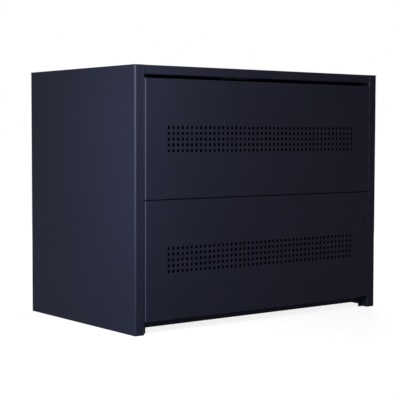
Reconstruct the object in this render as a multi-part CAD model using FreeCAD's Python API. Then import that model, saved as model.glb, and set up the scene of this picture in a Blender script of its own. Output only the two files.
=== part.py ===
import FreeCAD, Part

import math
import os

from FreeCAD import Placement, Rotation, Vector

# Two-tier battery cabinet in folded sheet steel, in millimetres.
# The origin is on the floor under the middle of the cabinet. +X is to the right seen from the
# front, -Y is the front, +Z is up. The two perforated front covers pull straight off towards -Y.

# Overall size, over the front covers and the rear screw heads
width = 880.0
depth = 545.0
height = 700.0

# Sheet thicknesses, the inner bend radii that show, and the gap between edges that meet
shell_sheet = 1.5
shell_bend = 2.5
load_sheet = 2.0
front_sheet = 1.2
front_bend = 1.8
rear_sheet = 1.2
fold_gap = 0.5

# Corner posts and rear flanges, folded from the side panels
post_face = 29.5
post_return = 22.0
post_lip = 16.5
rear_flange = 25.0
rear_return = 12.0

# Lid, with its front top rail and the finger slot under it
rail_height = 24.5
rail_return = 16.0
rail_lip = 8.0
lid_rear_drop = 24.5
finger_slot = 9.0
lid_angle_leg = 18.0
lid_angle_end_gap = 8.0

# Front covers
cover_proud = 2.0
cover_depth = 18.0
cover_side_gap = 1.0
cover_seam = 2.0
cover_bottom = 33.5
cover_lip = 14.0
cover_lip_end_gap = 6.0
cover_hat_height = 12.0
cover_hat_spread = 150.0
cover_hat_end_gap = 24.0

# Square perforation in a band across the middle of each front cover
hole_size = 8.0
hole_pitch = 15.2
hole_rows = 5
hole_margin = 69.0

# Base pan, cross rail behind the seam, and battery shelf
base_top = 44.0
base_skirt = 28.5
skirt_return = 12.0
base_hat_height = 16.0
base_hat_spread = 220.0
shelf_rise = 16.0
cross_rail_height = 36.0
cross_rail_flange = 25.0
shelf_front_fold = 12.0
shelf_rear_fold = 30.0
shelf_rear_gap = 27.0
shelf_hat_height = 20.0
shelf_hat_spread = 200.0
bracket_leg = 30.0
hat_width = 40.0
hat_brim = 12.0

# Rubber mats under the batteries
mat_thickness = 3.0
mat_side_gap = 3.5
mat_end_gap = 8.0
mat_corner = 10.0

# Tongues on the covers, the spring clips that hold them and the pads in the post lips
catch_inset = 9.5
catch_end_distance = 28.0
clip_sheet = 0.8
clip_width = 10.0
clip_depth = 12.0
clip_mouth = 4.0
clip_foot = 9.0
clip_window_gap = 0.3
tongue_width = 8.0
tongue_thickness = 1.6
tongue_foot = 5.0
tongue_clearance = 0.3
tongue_end_gap = 0.7
tongue_taper = 2.0
pad_width = 10.0
pad_height = 14.0
pad_gap = 0.3
pad_catch_distance = 45.0

# Rear panel with its vents and cable entries
rear_side_gap = 3.0
rear_top_gap = 5.0
vent_length = 60.0
vent_height = 6.0
vent_columns = 4
vent_pitch_x = 100.0
vent_rows = 3
vent_pitch_z = 18.0
vent_seam_distance = 83.0
grommet_hole_radius = 25.0
grommet_bore_radius = 19.0
grommet_rim = 5.0
grommet_outer_height = 2.4
grommet_inner_height = 4.0
grommet_clearance = 0.1
grommet_side_distance = 85.0
grommet_top_distance = 90.0
grommet_pitch = 75.0

# Thread-forming hexagon screws
screw_radius = 2.4
screw_hole_radius = 2.7
screw_head_flats = 8.0
screw_head_height = 2.5
screw_length = 9.0
thread_clearance = 0.05
rear_screws_per_side = 3
rear_screw_end_distance = 40.0

# Isolating breaker on its rail and bracket, in the upper right of the upper bay
breaker_drop = 104.0
breaker_width = 54.0
breaker_poles = 3
breaker_side_gap = 3.0
breaker_height = 84.0
breaker_back_gap = 2.0
breaker_nose_height = 45.0
breaker_nose_depth = 66.0
breaker_shoulder_depth = 46.0
din_rail_width = 35.0
din_rail_depth = 7.5
din_rail_sheet = 1.0
din_rail_brim = 5.0
din_rail_overhang = 2.0
din_rail_bite = 3.0
din_rail_clearance = 0.3
bracket_setback = 80.5
bracket_height = 66.0
bracket_flange = 14.0
bracket_plate_width = 63.0
terminal_pocket = 11.0
terminal_depth = 9.0
terminal_screw_flats = 8.0
terminal_screw_height = 4.0

# Breaker lever, tilting between its two ends
lever_hub_radius = 9.0
lever_width = 14.0
lever_clearance = 0.4
lever_setback = 6.0
lever_reach = 18.0
lever_thickness = 6.0
lever_rest_angle = 40.0
axle_radius = 1.5
axle_length = 22.0
axle_clearance = 0.08

# Earth stud on the right side panel
earth_rear_distance = 120.0
earth_height = 100.0
earth_stud_radius = 4.0
earth_stud_length = 20.0
earth_nut_flats = 13.0
earth_nut_height = 6.0
earth_nut_gap = 0.3

# Planes worked out from the sizes above
front_plane = -depth / 2
post_plane = front_plane + cover_proud
lip_plane = post_plane + post_return - shell_sheet
behind_lip = lip_plane + shell_sheet
cover_back = front_plane + cover_depth
rear_plane = depth / 2 - screw_head_height
flange_plane = rear_plane - rear_sheet
flange_back = flange_plane - rear_return
wall_inside = width / 2 - shell_sheet
post_inside = width / 2 - post_face
lip_inside = post_inside - post_lip
flange_inside = width / 2 - rear_flange
cover_half_width = post_inside - cover_side_gap
shell_top = height - shell_sheet
rail_bottom = height - rail_height
cover_top = rail_bottom - finger_slot
cover_height = (cover_top - cover_bottom - cover_seam) / 2
seam_bottom = cover_bottom + cover_height
seam_top = seam_bottom + cover_seam
base_bottom = base_top - base_skirt
shelf_top = (seam_bottom + seam_top) / 2 + shelf_rise
shelf_under = shelf_top - load_sheet
shelf_back = flange_plane - shelf_rear_gap
cross_rail_bottom = shelf_under - cross_rail_height
catch_x = post_inside - catch_inset
clip_back = lip_plane + clip_depth
bracket_face = behind_lip + bracket_setback
breaker_z = height - breaker_drop
breaker_right = lip_inside - breaker_side_gap
breaker_middle = breaker_right - breaker_width / 2
breaker_nose = bracket_face - breaker_nose_depth
breaker_shoulder = bracket_face - breaker_shoulder_depth
hub_y = breaker_nose + lever_setback
inward = (0, 1, 0)
outward = (0, -1, 0)
to_left = (-1, 0, 0)
to_right = (1, 0, 0)


# Sheet-metal helpers

def turns_left(before, point, after):
    """Whether a polyline turns left at a point."""
    return (point - before).cross(after - point).z > 0


def moved_left(points, distance):
    """A polyline moved to its left by a distance, with its corners kept mitred."""
    normals = []
    for start, end in zip(points, points[1:]):
        run = (end - start).normalize()
        normals.append(Vector(-run.y, run.x, 0))
    moved = [points[0] + normals[0] * distance]
    for point, before, after in zip(points[1:-1], normals, normals[1:]):
        moved.append(point + (before + after) * (distance / (1 + before.dot(after))))
    moved.append(points[-1] + normals[-1] * distance)
    return moved


def rounded_edges(points, radii):
    """Straight runs joined by tangent arcs, with one radius for each inner point."""
    edges = []
    start = points[0]
    for before, point, after, radius in zip(points, points[1:], points[2:], radii):
        back = (before - point).normalize()
        on = (after - point).normalize()
        half_angle = back.getAngle(on) / 2
        reach = radius / math.tan(half_angle)
        to_centre = (back + on).normalize()
        middle = point + to_centre * (radius / math.sin(half_angle) - radius)
        edges.append(Part.LineSegment(start, point + back * reach).toShape())
        edges.append(Part.Arc(point + back * reach, middle, point + on * reach).toShape())
        start = point + on * reach
    edges.append(Part.LineSegment(start, points[-1]).toShape())
    return edges


def along(profile, axis, start, end):
    """A flat profile extruded along an axis between two places.

    Its own X and Y become Y and Z for axis x, and Z and X for axis y."""
    turns = {
        "x": Rotation(Vector(1, 1, 1), 120),
        "y": Rotation(Vector(1, 1, 1), 240),
        "z": Rotation(),
    }
    turn = turns[axis]
    solid = profile.extrude(Vector(0, 0, end - start))
    solid.Placement = Placement(turn.multVec(Vector(0, 0, start)), turn)
    return solid


def folded(points, sheet, bend, axis, start, end):
    """A folded sheet: a polyline thickened to its left, with round bends, run along an axis."""
    outline = [Vector(u, v, 0) for u, v in points]
    outline_radii = []
    offset_radii = []
    for corner in zip(outline, outline[1:], outline[2:]):
        left = turns_left(*corner)
        outline_radii.append(bend + sheet if left else bend)
        offset_radii.append(bend if left else bend + sheet)
    offset = moved_left(outline, sheet)
    edges = rounded_edges(outline, outline_radii)
    edges.append(Part.LineSegment(outline[-1], offset[-1]).toShape())
    edges += rounded_edges(offset[::-1], offset_radii[::-1])
    edges.append(Part.LineSegment(offset[0], outline[0]).toShape())
    return along(Part.Face(Part.Wire(edges)), axis, start, end)


def section(points, sheet, axis, start, end):
    """A folded inner piece, whose tight bends are left as sharp corners."""
    outline = [Vector(u, v, 0) for u, v in points]
    ring = outline + moved_left(outline, sheet)[::-1] + outline[:1]
    return along(Part.Face(Part.makePolygon(ring)), axis, start, end)


def extruded(points, axis, start, end):
    """A closed polygon extruded along an axis."""
    ring = [Vector(u, v, 0) for u, v in points + points[:1]]
    return along(Part.Face(Part.makePolygon(ring)), axis, start, end)


def block(x, y, z):
    """A box between pairs of coordinates."""
    size = [high - low for low, high in (x, y, z)]
    return Part.makeBox(*size, Vector(x[0], y[0], z[0]))


def rod(radius, base, direction, length):
    """A cylinder that starts at a point and runs along a direction."""
    return Part.makeCylinder(radius, length, Vector(*base), Vector(*direction))


def hexagon(flats, base, direction, length):
    """A hexagonal prism with a width across flats."""
    corner_radius = flats / math.sqrt(3)
    corners = []
    for k in range(7):
        angle = math.radians(60 * k)
        corners.append(Vector(corner_radius * math.cos(angle), corner_radius * math.sin(angle), 0))
    prism = Part.Face(Part.makePolygon(corners)).extrude(Vector(0, 0, length))
    prism.Placement = Placement(Vector(*base), Rotation(Vector(0, 0, 1), Vector(*direction)))
    return prism


def turned(profile, base, direction):
    """A solid of revolution from (radius, distance) points, standing on a base point."""
    points = [Vector(radius, 0, distance) for radius, distance in profile]
    face = Part.Face(Part.makePolygon(points + points[:1]))
    solid = face.revolve(Vector(0, 0, 0), Vector(0, 0, 1), 360)
    solid.Placement = Placement(Vector(*base), Rotation(Vector(0, 0, 1), Vector(*direction)))
    return solid


def shifted(base, direction, distance):
    """A point moved along a direction."""
    return tuple(at + step * distance for at, step in zip(base, direction))


def joined(shapes):
    """Several shapes as one solid without inner seams."""
    return shapes[0].multiFuse(shapes[1:]).removeSplitter()


def without(shape, tools):
    """A shape with several tools cut from it."""
    return shape.cut(Part.makeCompound(tools))


def on_side(shape, side):
    """A shape made for the right side, mirrored for the left."""
    return shape if side > 0 else shape.mirror(Vector(0, 0, 0), Vector(1, 0, 0))


def about(middle, size):
    """The two ends of a size centred on a middle."""
    return middle - size / 2, middle + size / 2


def about_rows(middle, count, pitch):
    """The middles of a row of things at a pitch, centred on a middle."""
    return [middle + (k - (count - 1) / 2) * pitch for k in range(count)]


def evenly(first, last, count):
    """Evenly spaced values from the first to the last."""
    return [first + (last - first) * k / (count - 1) for k in range(count)]


def hat_outline(sheet, hat_height):
    """A hat section's outer side, as (across, away) from the face that its brims lie on."""
    outer = hat_width / 2
    web = outer - hat_brim
    return [
        (-outer, sheet),
        (-web, sheet),
        (-web, hat_height),
        (web, hat_height),
        (web, sheet),
        (outer, sheet),
    ]


# Places that several pieces share

catch_heights = {
    "lower": (cover_bottom + catch_end_distance, seam_bottom - catch_end_distance),
    "upper": (seam_top + catch_end_distance, cover_top - catch_end_distance),
}
bracket_screw_places = [(catch_x, lip_plane, z) for z in about(breaker_z, bracket_height / 2)]
rear_screw_places = [
    (side * (width / 2 - rear_flange / 2), rear_plane, z)
    for side in (-1, 1)
    for z in evenly(
        base_bottom + rear_screw_end_distance,
        height - rear_top_gap - rear_screw_end_distance,
        rear_screws_per_side,
    )
]
grommet_places = [
    (width / 2 - grommet_side_distance - k * grommet_pitch, rear_plane, height - grommet_top_distance)
    for k in (0, 1)
]
terminal_places = [
    (breaker_right - breaker_width * (k + 0.5) / breaker_poles, breaker_shoulder, z)
    for k in range(breaker_poles)
    for z in about(breaker_z, (breaker_nose_height + breaker_height) / 2)
]
earth_place = (wall_inside, flange_plane - earth_rear_distance, earth_height)


def catch_places(cover):
    """Where the catches of a cover cross the front of the post lips."""
    return [(side * catch_x, lip_plane, z) for side in (-1, 1) for z in catch_heights[cover]]


def holes(places, direction, radius, length):
    """Round holes that start a little before each place and run on past it."""
    return [rod(radius, shifted(place, direction, -1), direction, length + 1) for place in places]


# Cabinet shell

def side_panel(side):
    """A side wall with its front post, the post's lip and the rear flange, from one sheet."""
    points = [
        (lip_inside, lip_plane),
        (post_inside, lip_plane),
        (post_inside, post_plane),
        (width / 2, post_plane),
        (width / 2, flange_plane),
        (flange_inside, flange_plane),
        (flange_inside, flange_back),
    ]
    panel = on_side(folded(points, shell_sheet, shell_bend, "z", 0, shell_top), side)
    tools = holes(bracket_screw_places, inward, screw_hole_radius, shell_sheet * 2)
    tools += holes(rear_screw_places, outward, screw_radius + thread_clearance, screw_length)
    for x, _, z in catch_places("lower") + catch_places("upper"):
        tools.append(block(
            about(x, clip_width + 2 * clip_window_gap),
            (lip_plane - shell_sheet, behind_lip + shell_sheet),
            about(z, 2 * (clip_mouth + clip_window_gap)),
        ))
    return without(panel, tools)


def top_cover():
    """The lid sheet, with the front top rail and the rear flange folded down from it."""
    front_half = post_inside - fold_gap
    rear_half = flange_inside - fold_gap
    bend_reach = shell_bend + shell_sheet
    front_fold = [
        (0, height),
        (post_plane, height),
        (post_plane, rail_bottom),
        (post_plane + rail_return, rail_bottom),
        (post_plane + rail_return, rail_bottom + rail_lip),
    ]
    rear_fold = [
        (flange_plane, height - lid_rear_drop),
        (flange_plane, height),
        (0, height),
    ]
    sheet = block((-width / 2, width / 2), (post_plane, flange_plane), (shell_top, height))
    notches = [
        block((-front_half, front_half), (post_plane, post_plane + bend_reach), (shell_top, height)),
        block((-rear_half, rear_half), (flange_plane - bend_reach, flange_plane), (shell_top, height)),
    ]
    return joined([
        without(sheet, notches),
        folded(front_fold, shell_sheet, shell_bend, "x", -front_half, front_half),
        folded(rear_fold, shell_sheet, shell_bend, "x", -rear_half, rear_half),
    ])


def wall_angle(leg, sheet, top, start, end, side):
    """An angle with one leg on a side wall and the other level with a height."""
    points = [(top, wall_inside - leg), (top, wall_inside), (top - leg, wall_inside)]
    return on_side(section(points, sheet, "y", start, end), side)


def lid_angle(side):
    """The angle that joins a side wall to the lid."""
    start = behind_lip + lid_angle_end_gap
    end = flange_back - lid_angle_end_gap
    return wall_angle(lid_angle_leg, shell_sheet, shell_top, start, end, side)


def base_pan():
    """The floor of the lower bay, with skirts folded down on all four sides."""
    end_half = flange_inside - fold_gap
    lengthwise = [
        (flange_plane - skirt_return, base_bottom),
        (flange_plane, base_bottom),
        (flange_plane, base_top),
        (behind_lip, base_top),
        (behind_lip, base_bottom),
        (behind_lip + skirt_return, base_bottom),
    ]
    crosswise = [
        (base_bottom, skirt_return - wall_inside),
        (base_bottom, -wall_inside),
        (base_top, -wall_inside),
        (base_top, wall_inside),
        (base_bottom, wall_inside),
        (base_bottom, wall_inside - skirt_return),
    ]
    side_start = behind_lip + skirt_return + fold_gap
    side_end = flange_back - fold_gap
    deck = block((-wall_inside, wall_inside), (behind_lip, side_end), (base_top - load_sheet, base_top))
    return joined([
        deck,
        section(lengthwise, load_sheet, "x", -end_half, end_half),
        section(crosswise, load_sheet, "y", side_start, side_end),
    ])


def deck_hats(deck_under, hat_height, half_length, spread):
    """Two hat-section stiffeners that run across under a deck."""
    hats = []
    for middle in about(0, spread):
        points = [
            (middle + across, deck_under - away)
            for across, away in hat_outline(load_sheet, hat_height)
        ]
        hats.append(section(points, load_sheet, "x", -half_length, half_length))
    return Part.makeCompound(hats)


def base_stiffeners():
    """Hats under the base pan."""
    half_length = wall_inside - skirt_return - fold_gap
    return deck_hats(base_top - load_sheet, base_hat_height, half_length, base_hat_spread)


def rear_panel():
    """The screwed-on back, with vent slots for each bay and two cable entries."""
    half = width / 2 - rear_side_gap
    panel = block((-half, half), (flange_plane, rear_plane), (base_bottom, height - rear_top_gap))
    tools = holes(rear_screw_places, outward, screw_hole_radius, rear_sheet * 2)
    tools += holes(grommet_places, outward, grommet_hole_radius, rear_sheet * 2)
    for bay_z in (seam_bottom - vent_seam_distance, seam_top + vent_seam_distance):
        for x in about_rows(0, vent_columns, vent_pitch_x):
            for z in about_rows(bay_z, vent_rows, vent_pitch_z):
                tools.append(block(
                    about(x, vent_length),
                    (flange_plane - rear_sheet, rear_plane + rear_sheet),
                    about(z, vent_height),
                ))
    return without(panel, tools)


def cable_grommets():
    """Rubber grommets, grooved to snap into the cable entries."""
    neck = grommet_hole_radius - grommet_clearance
    rim = grommet_hole_radius + grommet_rim
    profile = [
        (grommet_bore_radius, -grommet_outer_height),
        (rim, 0),
        (neck, 0),
        (neck, rear_sheet),
        (rim, rear_sheet),
        (grommet_bore_radius, rear_sheet + grommet_inner_height),
    ]
    return Part.makeCompound([turned(profile, place, outward) for place in grommet_places])


# Battery shelf and what carries it

def cross_rail():
    """The channel behind the seam between the covers, welded to both post lips."""
    points = [
        (behind_lip + cross_rail_flange, shelf_under),
        (behind_lip, shelf_under),
        (behind_lip, cross_rail_bottom),
        (behind_lip + cross_rail_flange, cross_rail_bottom),
    ]
    half = wall_inside - fold_gap
    return section(points, load_sheet, "x", -half, half)


def shelf_bracket(side):
    """The angle on a side wall that carries the shelf's edge."""
    start = behind_lip + cross_rail_flange + fold_gap
    return wall_angle(bracket_leg, load_sheet, shelf_under, start, shelf_back, side)


def battery_shelf():
    """The deck of the upper bay, folded down in front of the cross rail and at the back."""
    lip_half = lip_inside - fold_gap
    deck_half = wall_inside - fold_gap
    front_face = behind_lip - load_sheet
    points = [
        (shelf_back, shelf_top - shelf_rear_fold),
        (shelf_back, shelf_top),
        (front_face, shelf_top),
        (front_face, shelf_top - shelf_front_fold),
    ]
    deck = block((-deck_half, deck_half), (behind_lip + fold_gap, shelf_back), (shelf_under, shelf_top))
    return joined([deck, section(points, load_sheet, "x", -lip_half, lip_half)])


def shelf_stiffeners():
    """Hats under the shelf."""
    half_length = wall_inside - bracket_leg - fold_gap
    return deck_hats(shelf_under, shelf_hat_height, half_length, shelf_hat_spread)


def battery_mat(bottom, back):
    """A rubber mat with cut corners that lies on a deck."""
    half = lip_inside - mat_side_gap
    mat = block(
        (-half, half), (behind_lip + mat_end_gap, back - mat_end_gap), (bottom, bottom + mat_thickness)
    )
    upright = [edge for edge in mat.Edges if abs(edge.tangentAt(edge.FirstParameter).z) > 0.5]
    return mat.makeChamfer(mat_corner, upright)


# Front covers and their catches

def cover_form(inset, radius, bottom, top):
    """A block for a cover's outside or inside, with its four front edges rounded and mitred."""
    half = cover_half_width - inset
    face = front_plane + inset
    form = block((-half, half), (face, cover_back), (bottom + inset, top - inset))
    front_edges = [edge for edge in form.Edges if edge.CenterOfMass.y < face + cover_depth / 4]
    return form.makeFillet(radius, front_edges)


def front_cover(bottom, top):
    """A shallow pan with a band of square holes and inner lips for the catches."""
    pan = cover_form(0, front_bend + front_sheet, bottom, top)
    pan = pan.cut(cover_form(front_sheet, front_bend, bottom, top))
    lips = []
    for side in (-1, 1):
        ends = (side * (cover_half_width - cover_lip), side * (cover_half_width - front_sheet / 2))
        lips.append(block(
            sorted(ends),
            (cover_back - front_sheet, cover_back),
            (bottom + cover_lip_end_gap, top - cover_lip_end_gap),
        ))
    band = 2 * (cover_half_width - hole_margin)
    columns = int((band - hole_size) / hole_pitch) + 1
    tools = []
    for x in about_rows(0, columns, hole_pitch):
        for z in about_rows((bottom + top) / 2, hole_rows, hole_pitch):
            tools.append(block(
                about(x, hole_size),
                (front_plane - front_sheet, front_plane + 2 * front_sheet),
                about(z, hole_size),
            ))
    return without(joined([pan] + lips), tools)


def cover_stiffeners(bottom, top):
    """Two hats on the back of a cover's face, above and below the perforated band."""
    face = front_plane + front_sheet
    half_length = cover_half_width - cover_hat_end_gap
    hats = []
    for middle in about((bottom + top) / 2, cover_hat_spread):
        points = [
            (face + away, middle + across)
            for across, away in hat_outline(front_sheet, cover_hat_height)
        ]
        hats.append(section(points, front_sheet, "x", -half_length, half_length))
    return Part.makeCompound(hats)


def cover_tongues(cover):
    """Steel tongues on the inner lips of a cover, reaching back into the spring clips."""
    half = tongue_thickness / 2
    foot_back = cover_back + tongue_thickness
    tip = clip_back - clip_sheet - tongue_end_gap
    tongues = []
    for x, _, z in catch_places(cover):
        upper_half = [
            (cover_back, half + tongue_foot),
            (foot_back, half + tongue_foot),
            (foot_back, half),
            (tip - tongue_taper, half),
            (tip, half / 2),
        ]
        outline = [(y, z + rise) for y, rise in upper_half]
        outline += [(y, z - rise) for y, rise in reversed(upper_half)]
        tongues.append(extruded(outline, "x", *about(x, tongue_width)))
    return Part.makeCompound(tongues)


def catch_clips():
    """Spring clips in the post lips: a foot on each edge of a window and two leaves behind it."""
    throat = tongue_thickness / 2 + tongue_clearance + clip_sheet
    clips = []
    for x, _, z in catch_places("lower") + catch_places("upper"):
        points = [
            (lip_plane, z - clip_foot),
            (lip_plane, z - clip_mouth),
            (clip_back, z - throat),
            (clip_back, z + throat),
            (lip_plane, z + clip_mouth),
            (lip_plane, z + clip_foot),
        ]
        clips.append(section(points, clip_sheet, "x", *about(x, clip_width)))
    return Part.makeCompound(clips)


def cover_pads():
    """Rubber pads on the post lips that the covers close against."""
    pads = []
    for low, high in catch_heights.values():
        for z in (low + pad_catch_distance, high - pad_catch_distance):
            for x in (-catch_x, catch_x):
                pads.append(block(
                    about(x, pad_width), (cover_back + pad_gap, lip_plane), about(z, pad_height)
                ))
    return Part.makeCompound(pads)


# Fasteners

def screws(places, direction):
    """Hexagon-head screws, each seated at a place."""
    back = shifted((0, 0, 0), direction, -1)
    return Part.makeCompound([
        joined([
            hexagon(screw_head_flats, place, back, screw_head_height),
            rod(screw_radius, place, direction, screw_length),
        ])
        for place in places
    ])


# Isolating breaker

def breaker_bracket():
    """The folded bracket that reaches back from the right post lip and carries the rail."""
    points = [
        (lip_inside - bracket_plate_width, bracket_face),
        (lip_inside, bracket_face),
        (lip_inside, behind_lip),
        (lip_inside + bracket_flange, behind_lip),
    ]
    bracket = section(points, load_sheet, "z", *about(breaker_z, bracket_height))
    screw_thread = screw_radius + thread_clearance
    return without(bracket, holes(bracket_screw_places, inward, screw_thread, screw_length))


def din_rail():
    """The top-hat rail on the bracket's plate."""
    brim_back = bracket_face - din_rail_depth + din_rail_sheet
    outer = din_rail_width / 2
    web = outer - din_rail_brim
    points = [
        (brim_back, breaker_z - outer),
        (brim_back, breaker_z - web),
        (bracket_face, breaker_z - web),
        (bracket_face, breaker_z + web),
        (brim_back, breaker_z + web),
        (brim_back, breaker_z + outer),
    ]
    ends = about(breaker_middle, breaker_width + 2 * din_rail_overhang)
    return section(points, din_rail_sheet, "x", *ends)


def breaker_body():
    """The breaker's housing: shoulders, nose, rail hooks, lever well and terminal pockets."""
    back_y = bracket_face - breaker_back_gap
    rail_front = bracket_face - din_rail_depth - din_rail_clearance
    hook_front = bracket_face - din_rail_depth + din_rail_sheet + din_rail_clearance
    rail_half = din_rail_width / 2 + din_rail_clearance
    upper_half = [
        (breaker_nose, breaker_nose_height / 2),
        (breaker_shoulder, breaker_nose_height / 2),
        (breaker_shoulder, breaker_height / 2),
        (back_y, breaker_height / 2),
        (back_y, rail_half - din_rail_bite),
        (hook_front, rail_half - din_rail_bite),
        (hook_front, rail_half),
        (rail_front, rail_half),
    ]
    outline = [(y, breaker_z + rise) for y, rise in upper_half]
    outline += [(y, breaker_z - rise) for y, rise in reversed(upper_half)]
    body = extruded(outline, "x", breaker_right - breaker_width, breaker_right)
    well = lever_hub_radius + lever_clearance
    well_ends = about(breaker_middle, lever_width + 2 * lever_clearance)
    tools = [
        rod(well, (well_ends[0], hub_y, breaker_z), to_right, well_ends[1] - well_ends[0]),
        block(well_ends, (breaker_nose - 1, hub_y), about(breaker_z, 2 * well)),
        lever_axle(axle_radius + axle_clearance),
    ]
    for x, y, z in terminal_places:
        depth_range = (y - 1, y + terminal_depth)
        tools.append(block(about(x, terminal_pocket), depth_range, about(z, terminal_pocket)))
    return without(body, tools)


def terminal_screws():
    """Hexagon-head terminal screws, at the bottom of their pockets."""
    sunk = terminal_depth - terminal_screw_height
    return Part.makeCompound([
        hexagon(terminal_screw_flats, shifted(place, inward, sunk), inward, terminal_screw_height)
        for place in terminal_places
    ])


def lever_axle(radius):
    """The lever's pin, held by the walls of its well."""
    return rod(radius, (breaker_middle - axle_length / 2, hub_y, breaker_z), to_right, axle_length)


def breaker_lever():
    """The lever, tilted down in its off position."""
    ends = about(breaker_middle, lever_width)
    hub = rod(lever_hub_radius, (ends[0], hub_y, breaker_z), to_right, lever_width)
    handle = block(ends, (hub_y - lever_reach, hub_y), about(breaker_z, lever_thickness))
    lever = joined([hub, handle]).cut(lever_axle(axle_radius + axle_clearance))
    lever.rotate(Vector(0, hub_y, breaker_z), Vector(1, 0, 0), lever_rest_angle)
    return lever


# Protective earth

def earth_stud():
    """The welded stud on the inside of the right wall."""
    return rod(earth_stud_radius, earth_place, to_left, earth_stud_length)


def earth_nut():
    """The hexagon nut on the earth stud."""
    seat = shifted(earth_place, to_left, earth_nut_gap)
    bore = rod(earth_stud_radius + thread_clearance, earth_place, to_left, earth_stud_length)
    return hexagon(earth_nut_flats, seat, to_left, earth_nut_height).cut(bore)


pieces = {
    "left_side_panel": side_panel(-1),
    "right_side_panel": side_panel(1),
    "top_cover": top_cover(),
    "left_lid_angle": lid_angle(-1),
    "right_lid_angle": lid_angle(1),
    "base_pan": base_pan(),
    "base_stiffeners": base_stiffeners(),
    "rear_panel": rear_panel(),
    "rear_panel_screws": screws(rear_screw_places, outward),
    "cable_grommets": cable_grommets(),
    "cross_rail": cross_rail(),
    "left_shelf_bracket": shelf_bracket(-1),
    "right_shelf_bracket": shelf_bracket(1),
    "battery_shelf": battery_shelf(),
    "shelf_stiffeners": shelf_stiffeners(),
    "lower_bay_mat": battery_mat(base_top, flange_back),
    "upper_bay_mat": battery_mat(shelf_top, shelf_back),
    "lower_front_cover": front_cover(cover_bottom, seam_bottom),
    "lower_cover_stiffeners": cover_stiffeners(cover_bottom, seam_bottom),
    "lower_cover_tongues": cover_tongues("lower"),
    "upper_front_cover": front_cover(seam_top, cover_top),
    "upper_cover_stiffeners": cover_stiffeners(seam_top, cover_top),
    "upper_cover_tongues": cover_tongues("upper"),
    "catch_clips": catch_clips(),
    "cover_pads": cover_pads(),
    "breaker_bracket": breaker_bracket(),
    "breaker_bracket_screws": screws(bracket_screw_places, inward),
    "din_rail": din_rail(),
    "breaker_body": breaker_body(),
    "breaker_terminal_screws": terminal_screws(),
    "breaker_lever_axle": lever_axle(axle_radius),
    "breaker_lever": breaker_lever(),
    "earth_stud": earth_stud(),
    "earth_nut": earth_nut(),
}

os.makedirs("parts", exist_ok=True)
for name, shape in pieces.items():
    shape.exportStep(f"parts/{name}.step")
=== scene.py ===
"""Looks of the battery cabinet: finishes, stage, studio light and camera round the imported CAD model."""

import math

import bpy
from mathutils import Euler, Matrix, Vector


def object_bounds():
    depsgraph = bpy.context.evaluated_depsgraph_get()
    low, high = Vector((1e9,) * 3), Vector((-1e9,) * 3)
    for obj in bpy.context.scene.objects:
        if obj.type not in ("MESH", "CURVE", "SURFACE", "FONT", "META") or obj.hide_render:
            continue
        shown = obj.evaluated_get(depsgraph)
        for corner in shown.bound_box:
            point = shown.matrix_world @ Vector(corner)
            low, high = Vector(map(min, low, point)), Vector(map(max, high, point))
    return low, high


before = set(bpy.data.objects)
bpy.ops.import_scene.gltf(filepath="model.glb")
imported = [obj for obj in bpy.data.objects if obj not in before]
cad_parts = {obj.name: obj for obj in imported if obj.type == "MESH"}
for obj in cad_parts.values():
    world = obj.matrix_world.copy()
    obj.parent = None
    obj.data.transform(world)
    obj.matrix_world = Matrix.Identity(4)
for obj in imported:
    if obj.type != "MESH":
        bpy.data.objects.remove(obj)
cad_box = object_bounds()
cabinet_top = cad_box[1][2]

# Colours of the finishes, linear

COAT_COLOUR = (0.0215, 0.0242, 0.0425)
COAT_LIGHTER = (0.0255, 0.0285, 0.0490)
# Painted highlight colour for the upright folds, standing in for the lamps' glint on them
COAT_BEND_HIGHLIGHT = (0.084, 0.092, 0.130)
COAT_WORN = (0.060, 0.068, 0.095)
ZINC_COLOUR = (0.55, 0.56, 0.57)
ZINC_TINT = (0.47, 0.46, 0.42)
SPRING_COLOUR = (0.30, 0.29, 0.28)
SPRING_TINT = (0.22, 0.19, 0.16)
BRASS_COLOUR = (0.62, 0.42, 0.17)
BRASS_TINT = (0.42, 0.27, 0.11)
RUBBER_COLOUR = (0.012, 0.012, 0.013)
RUBBER_DUSTY = (0.030, 0.029, 0.028)
HOUSING_COLOUR = (0.50, 0.50, 0.48)
HOUSING_SHADED = (0.42, 0.42, 0.40)
LEVER_COLOUR = (0.020, 0.020, 0.022)
LEVER_SHADED = (0.032, 0.032, 0.034)

# Gloss, wear and a painted highlight. The stage is white all round, so a glossier coat would turn grey,
# and the upright folds get a painted highlight in the coat's colour instead.

COAT_SPECULAR = 0.03
RUBBER_SPECULAR = 0.3
PLAIN_SPECULAR = 0.5
COAT_ROUGHNESS = (0.465, 0.495)
RUBBER_ROUGHNESS = (0.62, 0.82)
COAT_EDGE = 0.0012
# Share of the painted fold highlight left at the floor, of its strength at the top: for the cabinet body,
# and for the covers
POST_HIGHLIGHT_AT_FLOOR = 0.18
COVER_HIGHLIGHT_AT_FLOOR = 0.60

# Ranges: a whole share, and the middle of a noise, which holds most of its values

WHOLE = (0.0, 1.0)
MIDDLE = (0.3, 0.7)
UPPER_MIDDLE = (0.35, 0.7)

# The colour sockets of a Mix node, which share their names with its other sockets

MIX_FIRST = 6
MIX_SECOND = 7
MIX_RESULT = 2

# Camera, in metres, degrees and, for the lens, millimetres

EYE = (-2.0888, -2.6859, 0.5235)
HEADING = 37.578
TILT = -3.331
ROLL = 0.136
LENS = 102.7
SENSOR = 36.0

# Floor and surroundings, in metres. The floor shows a little below white by the cabinet.

FLOOR_SIZE = 400.0
FLOOR_GREY = 0.35
FLOOR_SHOWN_NEAR = 0.86
NEAR = 0.9
FAR = 2.6
WHITE = 1.0
AMBIENT = 0.06

# Lamps, in metres and watts

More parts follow.
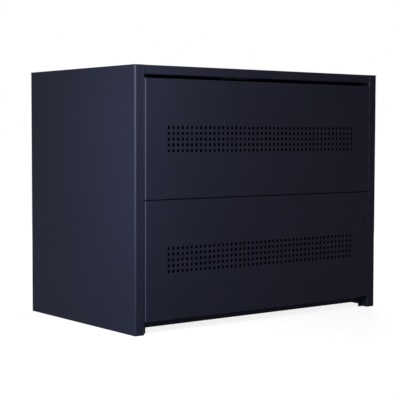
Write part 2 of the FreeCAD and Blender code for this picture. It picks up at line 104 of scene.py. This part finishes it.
FRONT_AIM = (-0.20, -0.10, 0.35)
FRONT_BOX = 0.6
KEY_PLACE = (-0.79, -0.876, 0.95)
KEY_POWER = 6.95
KEY_TINT = (1.0, 0.93, 0.89)
SIDE_PLACE = (-1.098, -0.509, 0.40)
SIDE_POWER = 5.0
SIDE_TINT = (0.68, 0.77, 1.0)
REAR_AIM = (0.1, 0.1, 0.35)
REAR_BOX = 1.2
REAR_PLACE = (1.9, 1.7, 1.25)
REAR_POWER = 62.0
REAR_TINT = (1.0, 1.0, 1.0)


# Finishes

def set_ranges(node, source, target):
    """Makes a Map Range node turn a value's range into another."""
    node.inputs["From Min"].default_value, node.inputs["From Max"].default_value = source
    node.inputs["To Min"].default_value, node.inputs["To Max"].default_value = target


class Finish:
    """A procedural material and the node calls that it is made with."""

    def __init__(self, name, specular, metallic=0.0):
        self.material = bpy.data.materials.new(name)
        self.material.use_nodes = True
        self.tree = self.material.node_tree
        self.shader = self.tree.nodes["Principled BSDF"]
        self.shader.inputs["Specular IOR Level"].default_value = specular
        self.shader.inputs["Metallic"].default_value = metallic
        place = self.tree.nodes.new("ShaderNodeTexCoord")
        self.place = place.outputs["Object"]

    def link(self, source, target):
        self.tree.links.new(source, target)

    def stretched(self, scale):
        """Object coordinates, scaled along each axis."""
        node = self.tree.nodes.new("ShaderNodeMapping")
        node.inputs["Scale"].default_value = scale
        self.link(self.place, node.inputs["Vector"])
        return node.outputs["Vector"]

    def noise(self, per_metre, detail, place=None):
        """Smooth noise from 0 to 1, with so many cells to the metre."""
        node = self.tree.nodes.new("ShaderNodeTexNoise")
        node.inputs["Scale"].default_value = per_metre
        node.inputs["Detail"].default_value = detail
        self.link(place or self.place, node.inputs["Vector"])
        return node.outputs["Fac"]

    def cells(self, per_metre):
        """Distance to the nearest of many scattered points, so many to the metre."""
        node = self.tree.nodes.new("ShaderNodeTexVoronoi")
        node.inputs["Scale"].default_value = per_metre
        self.link(self.place, node.inputs["Vector"])
        return node.outputs["Distance"]

    def spread(self, value, source, target):
        """A value's range turned into another."""
        node = self.tree.nodes.new("ShaderNodeMapRange")
        self.link(value, node.inputs["Value"])
        set_ranges(node, source, target)
        return node.outputs["Result"]

    def product(self, first, second):
        node = self.tree.nodes.new("ShaderNodeMath")
        node.operation = "MULTIPLY"
        self.link(first, node.inputs[0])
        self.link(second, node.inputs[1])
        return node.outputs["Value"]

    def blend(self, share, first, second):
        """Two colours, each written out or from an earlier blend, mixed by a share of the second."""
        node = self.tree.nodes.new("ShaderNodeMix")
        node.data_type = "RGBA"
        self.link(share, node.inputs["Factor"])
        for source, socket in ((first, MIX_FIRST), (second, MIX_SECOND)):
            if isinstance(source, tuple):
                node.inputs[socket].default_value = (*source, 1.0)
            else:
                self.link(source, node.inputs[socket])
        return node.outputs[MIX_RESULT]

    def edges(self, radius):
        """1 on a convex or concave edge, and 0 away from it."""
        bevel = self.tree.nodes.new("ShaderNodeBevel")
        bevel.samples = 4
        bevel.inputs["Radius"].default_value = radius
        geometry = self.tree.nodes.new("ShaderNodeNewGeometry")
        node = self.tree.nodes.new("ShaderNodeVectorMath")
        node.operation = "DOT_PRODUCT"
        self.link(bevel.outputs["Normal"], node.inputs[0])
        self.link(geometry.outputs["Normal"], node.inputs[1])
        return self.spread(node.outputs["Value"], (0.99, 0.80), WHOLE)

    def height(self):
        """Height above the floor, in metres."""
        node = self.tree.nodes.new("ShaderNodeSeparateXYZ")
        self.link(self.place, node.inputs["Vector"])
        return node.outputs["Z"]

    def upright_bends(self):
        """1 on the upright rounded folds, and 0 on the flats, whose normals lie along the axes."""
        geometry = self.tree.nodes.new("ShaderNodeNewGeometry")
        parts = self.tree.nodes.new("ShaderNodeSeparateXYZ")
        self.link(geometry.outputs["True Normal"], parts.inputs["Vector"])
        across = self.product(parts.outputs["X"], parts.outputs["Y"])
        size = self.tree.nodes.new("ShaderNodeMath")
        size.operation = "ABSOLUTE"
        self.link(across, size.inputs[0])
        return self.spread(size.outputs["Value"], (0.02, 0.40), WHOLE)

    def bump(self, height, depth, strength, under=None):
        """Relief of so many metres, over another relief if there is one."""
        node = self.tree.nodes.new("ShaderNodeBump")
        node.inputs["Distance"].default_value = depth
        node.inputs["Strength"].default_value = strength
        self.link(height, node.inputs["Height"])
        if under is not None:
            self.link(under, node.inputs["Normal"])
        return node.outputs["Normal"]

    def finish(self, colour, roughness, normal):
        self.link(colour, self.shader.inputs["Base Color"])
        self.link(roughness, self.shader.inputs["Roughness"])
        self.link(normal, self.shader.inputs["Normal"])
        return self.material


def powder_coat(name, highlight_at_floor):
    """Dark satin powder coat: fine grain over a soft peel, paler where edges are rubbed, with a painted
    highlight on the upright folds.

    The painted highlight on the upright folds is strongest at the cabinet's top, and falls to the given
    share of that at the floor.
    """
    f = Finish(name, COAT_SPECULAR)
    drift = f.spread(f.noise(per_metre=2.2, detail=3.0), MIDDLE, WHOLE)
    patches = f.spread(f.noise(per_metre=38.0, detail=4.0), (0.42, 0.68), (0.10, 0.75))
    worn = f.product(f.edges(COAT_EDGE), patches)
    # Painted highlight: the upright folds are painted lighter, strongest at the top and fading towards
    # the floor, in place of the lamps' glint on them
    bend_highlight = f.product(f.upright_bends(), f.spread(f.height(), (0.0, cabinet_top), (highlight_at_floor, 1.0)))
    body = f.blend(drift, COAT_COLOUR, COAT_LIGHTER)
    colour = f.blend(worn, f.blend(bend_highlight, body, COAT_BEND_HIGHLIGHT), COAT_WORN)
    roughness = f.spread(f.noise(per_metre=9.0, detail=5.0), MIDDLE, COAT_ROUGHNESS)
    peel = f.bump(f.noise(per_metre=420.0, detail=3.0), depth=0.0003, strength=0.25)
    grain = f.bump(f.cells(per_metre=1500.0), depth=0.0002, strength=0.30, under=peel)
    return f.finish(colour, roughness, grain)


def metal(name, base, tint, roughness, marks_per_metre, along=(1.0, 1.0, 1.0)):
    """Bare or plated metal, with drifting tint and fine marks, which a scale along an axis shortens."""
    f = Finish(name, PLAIN_SPECULAR, metallic=1.0)
    drift = f.spread(f.noise(per_metre=55.0, detail=4.0), UPPER_MIDDLE, WHOLE)
    marks = f.noise(marks_per_metre, detail=3.0, place=f.stretched(along))
    relief = f.bump(marks, depth=0.0001, strength=0.35)
    return f.finish(f.blend(drift, base, tint), f.spread(marks, MIDDLE, roughness), relief)


def moulded_plastic(name, base, shaded, roughness):
    """Moulded plastic with a fine grain."""
    f = Finish(name, PLAIN_SPECULAR)
    drift = f.spread(f.noise(per_metre=30.0, detail=4.0), UPPER_MIDDLE, WHOLE)
    rough = f.spread(f.noise(per_metre=80.0, detail=3.0), MIDDLE, roughness)
    grain = f.bump(f.cells(per_metre=2600.0), depth=0.0001, strength=0.5)
    return f.finish(f.blend(drift, base, shaded), rough, grain)


def dusty_rubber():
    """Black rubber with fine dust in a fine grain."""
    f = Finish("rubber_finish", RUBBER_SPECULAR)
    dust = f.noise(per_metre=14.0, detail=5.0)
    colour = f.blend(f.spread(dust, (0.42, 0.72), (0.0, 0.6)), RUBBER_COLOUR, RUBBER_DUSTY)
    grain = f.bump(f.noise(per_metre=1600.0, detail=2.0), depth=0.0002, strength=0.5)
    return f.finish(colour, f.spread(dust, MIDDLE, RUBBER_ROUGHNESS), grain)


finishes = {
    "powder_coat": powder_coat("powder_coat_finish", POST_HIGHLIGHT_AT_FLOOR),
    "zinc_plated_steel": metal("zinc_finish", ZINC_COLOUR, ZINC_TINT, (0.27, 0.43), 700.0),
    "spring_steel": metal(
        "spring_steel_finish", SPRING_COLOUR, SPRING_TINT, (0.23, 0.39), 300.0, (6.0, 1.0, 1.0)
    ),
    "brass": metal("brass_finish", BRASS_COLOUR, BRASS_TINT, (0.23, 0.39), 900.0),
    "rubber": dusty_rubber(),
    "breaker_plastic": moulded_plastic("housing_finish", HOUSING_COLOUR, HOUSING_SHADED, (0.42, 0.54)),
    "lever_plastic": moulded_plastic("lever_finish", LEVER_COLOUR, LEVER_SHADED, (0.34, 0.46)),
}
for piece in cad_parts.values():
    for slot in piece.material_slots:
        slot.material = finishes[slot.material.name.split(".")[0]]

# The covers get their own coat, whose painted fold highlight fades less towards the floor
cover_coat = powder_coat("cover_coat_finish", COVER_HIGHLIGHT_AT_FLOOR)
for cover in ("upper_front_cover", "lower_front_cover"):
    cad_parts[cover].material_slots[0].material = cover_coat


# Stage

def lit_white(tree, surface, given):
    """Makes a glow light other surfaces with a given strength, and show as white.

    Camera, glossy and transmission rays see the white. Returns the socket that holds it.
    """
    path = tree.nodes.new("ShaderNodeLightPath")
    seen = path.outputs["Is Camera Ray"]
    for other in ("Is Glossy Ray", "Is Transmission Ray"):
        either = tree.nodes.new("ShaderNodeMath")
        either.operation = "MAXIMUM"
        tree.links.new(seen, either.inputs[0])
        tree.links.new(path.outputs[other], either.inputs[1])
        seen = either.outputs["Value"]
    strength = tree.nodes.new("ShaderNodeMapRange")
    tree.links.new(seen, strength.inputs["Value"])
    set_ranges(strength, WHOLE, (given, WHITE))
    tree.links.new(strength.outputs["Result"], surface.inputs["Strength"])
    return strength.inputs["To Max"]


def brighter_outwards(tree):
    """How bright the floor's glow shows: a little below white near the cabinet, and white far out."""
    place = tree.nodes.new("ShaderNodeTexCoord")
    away = tree.nodes.new("ShaderNodeVectorMath")
    away.operation = "LENGTH"
    tree.links.new(place.outputs["Object"], away.inputs[0])
    rise = tree.nodes.new("ShaderNodeMapRange")
    rise.interpolation_type = "SMOOTHSTEP"
    tree.links.new(away.outputs["Value"], rise.inputs["Value"])
    set_ranges(rise, (NEAR, FAR), (FLOOR_SHOWN_NEAR, WHITE))
    return rise.outputs["Result"]


def make_floor():
    """A large pale floor that keeps a faint shadow near the cabinet and turns white further out."""
    bpy.ops.mesh.primitive_plane_add(size=FLOOR_SIZE, location=(0.0, 0.0, 0.0))
    floor = bpy.context.object
    floor.name = "floor"
    material = bpy.data.materials.new("floor_paint")
    material.use_nodes = True
    tree = material.node_tree
    tree.nodes.remove(tree.nodes["Principled BSDF"])
    paint = tree.nodes.new("ShaderNodeBsdfDiffuse")
    paint.inputs["Color"].default_value = (FLOOR_GREY, FLOOR_GREY, FLOOR_GREY, 1.0)
    glow = tree.nodes.new("ShaderNodeEmission")
    tree.links.new(brighter_outwards(tree), lit_white(tree, glow, given=0.0))
    both = tree.nodes.new("ShaderNodeAddShader")
    tree.links.new(paint.outputs["BSDF"], both.inputs[0])
    tree.links.new(glow.outputs["Emission"], both.inputs[1])
    tree.links.new(both.outputs["Shader"], tree.nodes["Material Output"].inputs["Surface"])
    floor.data.materials.append(material)


def make_world():
    """Even ambient light, shown as white."""
    world = bpy.data.worlds.new("studio")
    world.use_nodes = True
    bpy.context.scene.world = world
    background = world.node_tree.nodes["Background"]
    background.inputs["Color"].default_value = (1.0, 1.0, 1.0, 1.0)
    lit_white(world.node_tree, background, given=AMBIENT)


def softbox(name, place, aim, side, power, tint):
    """A square area light that faces a point."""
    light = bpy.data.lights.new(name, "AREA")
    light.shape = "SQUARE"
    light.size = side
    light.energy = power
    light.color = tint
    lamp = bpy.data.objects.new(name, light)
    lamp.location = place
    lamp.rotation_euler = (Vector(aim) - Vector(place)).to_track_quat("-Z", "Y").to_euler()
    lamp.visible_camera = False
    bpy.context.scene.collection.objects.link(lamp)
    return lamp


make_floor()
make_world()
softbox("key_light", KEY_PLACE, FRONT_AIM, FRONT_BOX, KEY_POWER, KEY_TINT)
softbox("side_light", SIDE_PLACE, FRONT_AIM, FRONT_BOX, SIDE_POWER, SIDE_TINT)
rear = softbox("rear_light", REAR_PLACE, REAR_AIM, REAR_BOX, REAR_POWER, REAR_TINT)
rear.visible_glossy = False

# Camera, turned from looking straight down to level, then tilted, turned to its heading and rolled

lens = bpy.data.cameras.new("camera")
lens.lens = LENS
lens.sensor_width = SENSOR
lens.clip_end = 2 * FLOOR_SIZE
camera = bpy.data.objects.new("camera", lens)
camera.location = EYE
camera.rotation_euler = (
    Euler((math.radians(90.0 + TILT), 0.0, -math.radians(HEADING))).to_matrix()
    @ Matrix.Rotation(math.radians(ROLL), 3, "Z")
).to_euler()
bpy.context.scene.collection.objects.link(camera)
bpy.context.scene.camera = camera
bpy.context.scene.view_settings.view_transform = "Standard"
